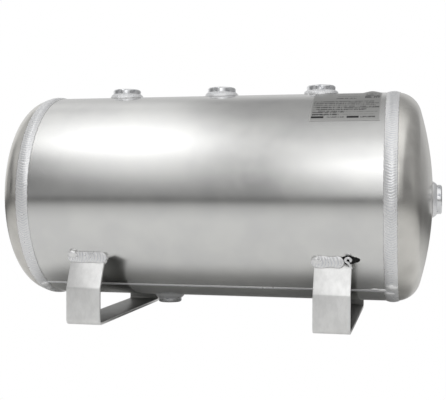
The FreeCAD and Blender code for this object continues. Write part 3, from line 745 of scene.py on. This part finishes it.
def portBead(port):
    # a fillet from the coupling's side down to the shell or the crown it stands on
    look = dict(portWeldLook, seed=port["seed"], crown=portWeldLook["crown"] * port["fullness"],
                lump=portWeldLook["lump"] * port["fullness"])
    leg, height, radius = portForm["weldLeg"], portForm["weldHeight"], port["radius"]
    ahead, side = (np.array(way, float) for way in facings[port["facing"]])
    third = np.cross(ahead, side)
    mouth = np.array(port["mouth"], float)
    onHead = port["facing"] == "right"
    ball = headForm["crown"] if onHead else tank["radius"]
    if onHead:
        tangent, ring, back = setOutHead()
        centre = np.array((tank["middle"] + tangent - back, 0, mouth[2]))
    else:
        centre = np.array((mouth[0], 0, tank["height"]))
    toeA, toeB, outward = [], [], []
    for i in range(look["steps"]):
        angle = 2 * math.pi * i / look["steps"]
        ray = side * math.cos(angle) + third * math.sin(angle)
        reach, drop = radius + leg, 0.0
        waver = 1 + look["waver"] * math.sin(look["waverLobes"] * angle + look["seed"])
        for fitStep in range(look["fitSteps"]):
            # how far the surface has fallen away under the toe
            off = reach if onHead else reach * abs(ray[1])
            drop = ball - math.sqrt(ball ** 2 - off ** 2)
            reach = radius + leg * (1 + drop / height) * waver
        toeA.append(centre + ahead * (ball - drop) + ray * reach)
        toeB.append(centre + ahead * (ball + height) + ray * radius)
        normal = ray * (height + drop) + ahead * (reach - radius)
        outward.append(normal / np.linalg.norm(normal))
    putOn(layBead(port["weld"] + "_bead", toeA, toeB, outward, look, True), "weld_bead", port["weld"])


for port in ports.values():
    portBead(port)
print("port welds laid")

footWeldLook = {"crown": 1.3 * mm, "pitch": 3.4 * mm, "ripple": 0.4 * mm, "lag": 2.6 * mm, "lump": 1.5 * mm,
                "lumpSize": 8 * mm, "shoulder": 2.2, "flank": 0.8, "lip": 0.1 * mm, "root": 3.0 * mm,
                "rootWidth": 0.3, "stepsAcross": 16, "step": 0.6 * mm, "rounding": 7 * mm,
                "endSize": 0.02, "waver": 0.06, "waverLength": 3.1 * mm, "legLean": 0.47,
                "outward": (0.99, -0.14)}
footWelds = {"foot_left_weld_front": {"side": -1, "seed": 21.0, "share": 1.0},
             "foot_left_weld_rear": {"side": 1, "seed": 22.3, "share": 1.0},
             "foot_right_weld_front": {"side": -1, "seed": 23.1, "share": 0.76},
             "foot_right_weld_rear": {"side": 1, "seed": 24.8, "share": 1.0}}


def footBead(nodeName, side, seed, share):
    # laid over the end of a foot's tab, from the tab's outer face up on to the shell, with rounded ends;
    # share is how much of the tab's width it covers
    look = dict(footWeldLook, seed=seed)
    low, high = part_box(nodeName)
    high.x = low.x + (high.x - low.x) * share
    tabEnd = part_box(nodeName.rsplit("_weld", 1)[0])[1].z
    shellY = math.sqrt(tank["radius"] ** 2 - (high.z - tank["height"]) ** 2)
    legY = abs(low.y if side > 0 else high.y) + (tabEnd - low.z) * look["legLean"]
    count = int((high.x - low.x) / look["step"])
    toeA, toeB, outward, swell = [], [], [], []
    for i in range(count + 1):
        x = low.x + (high.x - low.x) * i / count
        fromEnd = min(x - low.x, high.x - x)
        size = math.sqrt(max(look["endSize"], 1 - max(0, 1 - fromEnd / look["rounding"]) ** 2))
        size *= 1 - look["waver"] + look["waver"] * math.sin((x - low.x) / look["waverLength"] + seed)
        toeA.append((x, side * shellY, high.z))
        toeB.append((x, side * legY, low.z))
        outward.append((0, side * look["outward"][0], look["outward"][1]))
        swell.append(size)
    putOn(layBead(nodeName + "_bead", toeA, toeB, outward, look, False, swell), "weld_bead", nodeName)


for nodeName, weld in footWelds.items():
    footBead(nodeName, **weld)


hookLook = dict(footWeldLook, crown=1.6 * mm, pitch=2.4 * mm, ripple=0.25 * mm, lag=1.0 * mm, lump=0.4 * mm,
                root=1.5 * mm, stepsAcross=10, seed=31.0, x=161.2 * mm, angle=math.radians(122.6),
                curl=2.8 * mm, width=3.6 * mm, firstTurn=-60, turns=330, curlShare=0.7,
                tail=7.5 * mm, tailSlant=0.55, stand=3.4 * mm, rise=3.6 * mm, riseFrom=0.5,
                taper=0.25, endRounding=8, endSize=0.05, steps=60)


def hookBead():
    # the last tack on the right foot: a curl of weld with a tail that runs down on to the tab
    look, toeA, toeB, outward, swell = hookLook, [], [], [], []
    radius = tank["radius"] + look["stand"]
    path = []
    for step in range(look["steps"] + 1):
        share = step / look["steps"]
        turn = math.radians(look["firstTurn"] + look["turns"] * min(1, share / look["curlShare"]))
        onTail = max(0, (share - look["curlShare"]) / (1 - look["curlShare"]))
        along = look["curl"] * math.cos(turn) + onTail * look["tail"] * look["tailSlant"]
        down = -look["curl"] * math.sin(turn) + onTail * look["tail"]
        lift = look["rise"] * max(0, share - look["riseFrom"])
        path.append((tank["middle"] + look["x"] + along, look["angle"] + down / radius, lift))
        rounded = math.sqrt(max(look["endSize"], 1 - abs(2 * share - 1) ** look["endRounding"]))
        swell.append(rounded * (1 - look["taper"] * share))
    for i, (x, angle, lift) in enumerate(path):
        before, after = path[max(0, i - 1)], path[min(len(path) - 1, i + 1)]
        run = np.array((after[0] - before[0], (after[1] - before[1]) * radius))
        run = run / np.linalg.norm(run) * look["width"] / 2
        toeA.append(aroundTank(angle + run[0] / radius, radius + lift, x - run[1]))
        toeB.append(aroundTank(angle - run[0] / radius, radius + lift, x + run[1]))
        outward.append((0, -math.sin(angle), math.cos(angle)))
    putOn(layBead("foot_right_weld_front_hook", toeA, toeB, outward, look, False, swell), "weld_bead")


hookBead()
print("foot welds laid")

dropForm = {"bumps": 0.12, "bumpScale": 1.9, "roundness": 3, "noiseStep": 7.1}
# Starts, stops and spatter: small frozen drops half sunk in the metal. Each is (angle from the top towards
# the front in degrees, then in millimetres x from the tank's middle, stand off the shell, length along the
# tank, width round it and height, and last 1 where it is drawn near black).
drops = {
    "girth_weld_left": ((150.8, -202.7, 1, 11, 10, 2.2, 0), (158, -203.5, 1, 7, 8, 1.6, 0)),
    "girth_weld_right": ((143.6, 205.3, 1, 14, 11, 3.0, 0), (151, 203.0, 1, 12, 7, 1.7, 0),
                         (148, 195.0, 0, 12, 4, 1.4, 0), (147.3, 187.0, 0, 10, 3, 1.0, 0)),
    "foot_left_weld_front": ((123.0, -150.6, 2.0, 11, 11, 3.0, 0), (127.0, -115.5, 2.5, 9, 8, 3.0, 0),
                             (124.8, -113.5, 1.5, 6, 5, 2.2, 0), (129.6, -146.0, 3.5, 4, 5, 2.0, 0)),
    "foot_right_weld_front": ((124.3, 126.5, 2.0, 11, 11, 3.2, 0), (130.0, 131.5, 3.8, 6, 5, 1.8, 0),
                              (123.9, 161.2, 0.6, 18, 11, 1.6, 1), (123.6, 168.2, 0.2, 11, 7, 0.9, 1)),
    "top_port_weld_left": ((8.6, -118.5, 0, 2.6, 2.6, 0.8, 0), (10.3, -124.0, 0, 1.8, 1.8, 0.5, 0)),
    "top_port_weld_centre": ((8.8, 4.0, 0, 2.2, 2.2, 0.7, 0),),
    "top_port_weld_right": ((11.2, 121.0, 0, 4.5, 3.0, 1.0, 0), (10.4, 108.0, 0, 3.2, 2.4, 0.8, 0)),
}


def freezeDrops(owner, places):
    form, shape, blackPatchOf = dropForm, bmesh.new(), []
    for index, (degrees, x, stand, length, width, height, blackPatch) in enumerate(places):
        angle = math.radians(degrees)
        centre = aroundTank(angle, tank["radius"] + stand * mm, tank["middle"] + x * mm)
        around = Vector((0, -math.cos(angle), -math.sin(angle)))
        outward = Vector((0, -math.sin(angle), math.cos(angle)))
        axes = Matrix((Vector((length / 2 * mm, 0, 0)), around * width / 2 * mm,
                       outward * height * mm)).transposed()
        ball = bmesh.ops.create_icosphere(shape, subdivisions=form["roundness"], radius=1.0)["verts"]
        apart = Vector((index * form["noiseStep"], degrees, x))
        for vert in ball:
            rough = 1 + form["bumps"] * noise.noise(vert.co * form["bumpScale"] + apart)
            vert.co = Vector(centre) + axes @ (vert.co * rough)
        blackPatchOf += [blackPatch] * len(ball)
    mesh = bpy.data.meshes.new(owner + "_drops")
    shape.to_mesh(mesh)
    shape.free()
    mesh.attributes.new("blackPatch", "FLOAT", "POINT").data.foreach_set("value", blackPatchOf)
    putOn(newPiece(owner + "_drops", cleaned(mesh, 80)), "weld_bead")


for owner, places in drops.items():
    freezeDrops(owner, places)
print("starts, stops and spatter frozen")

footForm = {"edge": 0.45 * mm, "edgeSteps": 3, "flatAngle": math.radians(1), "edgeAngle": 40,
            "coreHeight": 0.6, "inwards": 0.35}


def bendFoot(nodeName):
    # the bent bar with its edges eased, as an extruded bar's are
    form = footForm
    mesh = nodes[nodeName].data.copy()
    shape = bmesh.new()
    shape.from_mesh(mesh)
    bmesh.ops.remove_doubles(shape, verts=shape.verts, dist=joinWithin)
    bmesh.ops.dissolve_limit(shape, angle_limit=form["flatAngle"], verts=shape.verts, edges=shape.edges)
    shape.to_mesh(mesh)
    shape.free()
    foot = newPiece(nodeName + "_bar", mesh)
    eased = foot.modifiers.new("edges", "BEVEL")
    eased.width, eased.segments = form["edge"], form["edgeSteps"]
    eased.limit_method, eased.angle_limit = "ANGLE", math.radians(form["edgeAngle"])
    settled(foot)
    cleaned(foot.data, form["edgeAngle"])
    # the faces turned inwards are marked to get a darker colour, painted shade for the shadow inside the
    # channel
    low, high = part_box(nodeName)
    core = Vector(((low.x + high.x) / 2, 0, (low.z + high.z) * form["coreHeight"]))
    inside = foot.data.attributes.new("inside", "FLOAT", "FACE")
    for face in foot.data.polygons:
        inwards = core - face.center
        inwards.x = 0
        inside.data[face.index].value = float(face.normal.dot(inwards.normalized()) > form["inwards"])
    putOn(foot, "foot_bar", nodeName)


bendFoot("foot_left")
bendFoot("foot_right")
print("feet bent")

labelForm = {"top": 11.5, "bottom": 47.0, "foil": 0.3 * mm, "glue": 0.06 * mm, "columns": 48, "rows": 36,
             "lift": 2.0 * mm, "liftMiddle": 0.85, "liftHalf": 0.17, "liftDown": 0.3, "crease": 40}


def stickLabel():
    # a foil sheet glued round the shell, whose top edge has come unstuck near its right corner
    form = labelForm
    low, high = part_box("rating_label")
    grid = {}
    for side, base in ((0, form["glue"]), (1, form["glue"] + form["foil"])):
        for row in range(form["rows"] + 1):
            for column in range(form["columns"] + 1):
                u, v = column / form["columns"], row / form["rows"]
                near = max(0, 1 - abs(u - form["liftMiddle"]) / form["liftHalf"])
                free = max(0, 1 - v / form["liftDown"])
                lift = form["lift"] * near * near * (3 - 2 * near) * free * free
                angle = math.radians(form["top"] + (form["bottom"] - form["top"]) * v)
                x = low.x + (high.x - low.x) * u
                grid[side, row, column] = aroundTank(angle, tank["radius"] + base + lift, x)
    keys = list(grid)
    number = {key: i for i, key in enumerate(keys)}
    faces = []
    for row in range(form["rows"]):
        for column in range(form["columns"]):
            for side in (0, 1):
                faces.append([number[side, row, column], number[side, row, column + 1],
                              number[side, row + 1, column + 1], number[side, row + 1, column]])
    lastRow, lastColumn = form["rows"], form["columns"]
    rim = [(0, column) for column in range(lastColumn)] + [(row, lastColumn) for row in range(lastRow)]
    rim += [(lastRow, column) for column in range(lastColumn, 0, -1)]
    rim += [(row, 0) for row in range(lastRow, 0, -1)]
    for (rowA, columnA), (rowB, columnB) in zip(rim, rim[1:] + rim[:1]):
        faces.append([number[0, rowA, columnA], number[0, rowB, columnB], number[1, rowB, columnB],
                      number[1, rowA, columnA]])
    mesh = bpy.data.meshes.new("rating_label_foil")
    mesh.from_pydata([tuple(point) for point in grid.values()], [], faces)
    placeOnSheet = mesh.uv_layers.new(name="sheet")
    for loop in mesh.loops:
        side, row, column = keys[loop.vertex_index]
        placeOnSheet.data[loop.index].uv = (column / form["columns"], row / form["rows"])
    foil = newPiece("rating_label_foil", cleaned(mesh, form["crease"]))
    putOn(foil, "label_foil", "rating_label")


stickLabel()
print("label stuck on")

# The floor is a white paper sweep. It looks plain white to the eye and gives the metal a softer grey to
# reflect.
# The grey carries a painted glow, an emission standing in for low lamps, kept out of a painted shadow round
# the tank; the paper also darkens from fadeFrom to fadeTo metres away, a painted falloff of light.
floorLook = {"paper": "#C9C9C8", "white": 1.0, "size": 12.0, "glow": 0.27, "shadowHalf": 170 * mm,
             "shadowIn": 60 * mm, "shadowOut": 112 * mm, "far": "#7E7E7D", "fadeFrom": 0.35, "fadeTo": 1.5}


def layFloor():
    look = floorLook
    mesh = bpy.data.meshes.new("studioFloor")
    half = look["size"] / 2
    mesh.from_pydata([(-half, -half, 0), (half, -half, 0), (half, half, 0), (-half, half, 0)], [],
                     [(0, 1, 2, 3)])
    floor = newPiece("studioFloor", mesh)
    material, tree = newTree("whitePaperSweep")
    place = addNode(tree, "ShaderNodeTexCoord").outputs["Object"]
    parts = addNode(tree, "ShaderNodeSeparateXYZ", links={"Vector": place})
    beyond = addNode(tree, "ShaderNodeMath", {"operation": "ABSOLUTE"}, links={0: parts.outputs["X"]})
    beyond = addNode(tree, "ShaderNodeMath", {"operation": "SUBTRACT"}, {1: look["shadowHalf"]}, {0: beyond})
    beyond = addNode(tree, "ShaderNodeMath", {"operation": "MAXIMUM"}, {1: 0.0}, {0: beyond})
    away = addNode(tree, "ShaderNodeCombineXYZ", links={"X": beyond, "Y": parts.outputs["Y"]})
    away = addNode(tree, "ShaderNodeVectorMath", {"operation": "LENGTH"}, links={0: away})
    # painted glow: emission in place of lamps, fading into a painted shadow between shadowIn and shadowOut
    paintedGlow = addNode(tree, "ShaderNodeMapRange", {"interpolation_type": "SMOOTHSTEP"},
                    {"From Min": look["shadowIn"], "From Max": look["shadowOut"], "To Max": look["glow"]},
                    {"Value": away})
    near = addNode(tree, "ShaderNodeMapRange",
                   values={"From Min": look["fadeTo"], "From Max": look["fadeFrom"]},
                   links={"Value": away})
    paintedGlow = addNode(tree, "ShaderNodeMath", {"operation": "MULTIPLY"}, links={0: paintedGlow, 1: near})
    # the paper colour darkens with distance: a painted falloff of light
    shade = addNode(tree, "ShaderNodeMix", {"data_type": "RGBA"},
                    {"A": linearColour(look["far"]), "B": linearColour(look["paper"])}, {"Factor": near})
    paper = addNode(tree, "ShaderNodeBsdfDiffuse", links={"Color": shade})
    paintedGlowEmission = addNode(tree, "ShaderNodeEmission", links={"Strength": paintedGlow})
    paperAndPaintedGlow = addNode(tree, "ShaderNodeAddShader", links={0: paper, 1: paintedGlowEmission})
    plain = addNode(tree, "ShaderNodeEmission", values={"Strength": look["white"]})
    ray = addNode(tree, "ShaderNodeLightPath")
    mixed = addNode(tree, "ShaderNodeMixShader",
                    links={0: ray.outputs["Is Camera Ray"], 1: paperAndPaintedGlow, 2: plain})
    addNode(tree, "ShaderNodeOutputMaterial", links={"Surface": mixed})
    mesh.materials.append(material)


layFloor()

# Soft lights round the room. along leans towards +x; over turns from the front (0) by the ceiling (90) to the
# back (180). Each is (middle, half size, soft edge) in degrees, and a strength under 0 is a black flag.
roomLook = {"level": 1.28, "front": 0.22, "ceiling": 0.36, "back": 0.3, "ceilingAt": 85, "ceilingHalf": 20,
            "ceilingSoft": 50, "wallSoft": 1}
roomLights = {
    "keyOverLeft": {"along": (-20, 3, 6), "over": (77, 8, 34), "strength": 0.92},
    "behindLeft": {"along": (-24, 7, 5), "over": (120, 4, 28), "strength": 0.48},
    "frontLeft": {"along": (-19, 2, 6), "over": (44, 2, 50), "strength": 0.86},
    "frontRight": {"along": (0, 6, 4), "over": (38, 2, 33), "strength": 0.65},
    "frontRightLow": {"along": (7, 12, 4), "over": (20, 12, 15), "strength": 0.47},
    "leftFlag": {"along": (-48, 20, 15), "over": (68, 48, 24), "strength": -0.29},
    "leftWall": {"along": (-49, 5, 24), "over": (95, 76, 33), "strength": 0.47},
    "behind": {"along": (-7, 20, 18), "over": (181, 25, 26), "strength": 0.3},
    "overRight": {"along": (14, 18, 15), "over": (67, 2, 38), "strength": 0.24},
    "rightWall": {"along": (19, 13, 11), "over": (60, 31, 49), "strength": 0.33},
}


def lightRoom():
    look = roomLook
    world = bpy.data.worlds.new("studioRoom")
    bpy.context.scene.world = world
    world.use_nodes = True
    tree = world.node_tree
    tree.nodes.clear()
    way = addNode(tree, "ShaderNodeTexCoord").outputs["Generated"]
    parts = addNode(tree, "ShaderNodeSeparateXYZ", links={"Vector": way})
    front = addNode(tree, "ShaderNodeMath", {"operation": "MULTIPLY"}, {1: -1.0}, {0: parts.outputs["Y"]})
    angles = {"along": addNode(tree, "ShaderNodeMath", {"operation": "ARCSINE"},
                               links={0: parts.outputs["X"]}),
              "over": addNode(tree, "ShaderNodeMath", {"operation": "ARCTAN2"},
                              links={0: parts.outputs["Z"], 1: front})}
    ceiling = {"over": (look["ceilingAt"], look["ceilingHalf"], look["ceilingSoft"])}
    windows = []
    for light in [ceiling] + list(roomLights.values()):
        window = None
        for direction in angles:
            if direction not in light:
                continue
            middle, half, soft = (math.radians(angle) for angle in light[direction])
            off = addNode(tree, "ShaderNodeMath", {"operation": "SUBTRACT"}, {1: middle},
                          {0: angles[direction]})
            off = addNode(tree, "ShaderNodeMath", {"operation": "WRAP"}, {1: -math.pi, 2: math.pi}, {0: off})
            off = addNode(tree, "ShaderNodeMath", {"operation": "ABSOLUTE"}, links={0: off})
            inside = addNode(tree, "ShaderNodeMapRange", {"interpolation_type": "SMOOTHSTEP"},
                             {"From Min": half + soft, "From Max": half}, {"Value": off})
            if window:
                inside = addNode(tree, "ShaderNodeMath", {"operation": "MULTIPLY"},
                                 links={0: window, 1: inside})
            window = inside
        windows.append(window)
    frontEnd, backStart = (math.radians(look["ceilingAt"] + side * look["wallSoft"]) for side in (-1, 1))
    walls = addNode(tree, "ShaderNodeMapRange",
                    values={"From Min": frontEnd, "From Max": backStart,
                            "To Min": look["front"], "To Max": look["back"]},
                    links={"Value": angles["over"]})
    total = addNode(tree, "ShaderNodeMix", {"data_type": "FLOAT"}, {"B": look["ceiling"]},
                    {"Factor": windows[0], "A": walls})
    for window, light in zip(windows[1:], roomLights.values()):
        total = addNode(tree, "ShaderNodeMath", {"operation": "MULTIPLY_ADD"}, {1: light["strength"]},
                        {0: window, 2: total})
    total = addNode(tree, "ShaderNodeMath", {"operation": "MULTIPLY"}, {1: look["level"]}, {0: total})
    total = addNode(tree, "ShaderNodeMath", {"operation": "MAXIMUM"}, {1: 0.0}, {0: total})
    room = addNode(tree, "ShaderNodeBackground", links={"Strength": total})
    white = addNode(tree, "ShaderNodeBackground", values={"Color": linearColour("#FFFFFF"), "Strength": 1.0})
    ray = addNode(tree, "ShaderNodeLightPath")
    mixed = addNode(tree, "ShaderNodeMixShader", links={0: ray.outputs["Is Camera Ray"], 1: room, 2: white})
    addNode(tree, "ShaderNodeOutputWorld", links={"Surface": mixed})


lightRoom()

# place is measured from the middle of the tank's axis
cameraLook = {"place": (235.13 * mm, -1048.48 * mm, 8.85 * mm), "turn": 0.219, "pitch": -0.013, "roll": 0.003,
              "lens": 71.37, "sensor": 36.0, "near": 0.05, "far": 60}


def placeCamera():
    camera = bpy.data.cameras.new("camera")
    camera.sensor_width, camera.lens = cameraLook["sensor"], cameraLook["lens"]
    camera.clip_start, camera.clip_end = cameraLook["near"], cameraLook["far"]
    eye = bpy.data.objects.new("camera", camera)
    bpy.context.scene.collection.objects.link(eye)
    turn, pitch, roll = cameraLook["turn"], cameraLook["pitch"], cameraLook["roll"]
    ahead = Vector((-math.sin(turn) * math.cos(pitch), math.cos(turn) * math.cos(pitch), math.sin(pitch)))
    right = Vector((math.cos(turn), math.sin(turn), 0))
    up = right.cross(ahead)
    rolledRight = right * math.cos(roll) + up * math.sin(roll)
    rolledUp = -right * math.sin(roll) + up * math.cos(roll)
    place = Vector(cameraLook["place"]) + Vector((tank["middle"], 0, tank["height"]))
    axes = Matrix((rolledRight, rolledUp, -ahead)).transposed()
    eye.matrix_world = Matrix.Translation(place) @ axes.to_4x4()
    bpy.context.scene.camera = eye


placeCamera()
bpy.context.scene.view_settings.view_transform = "Standard"
print("floor, light and camera placed")
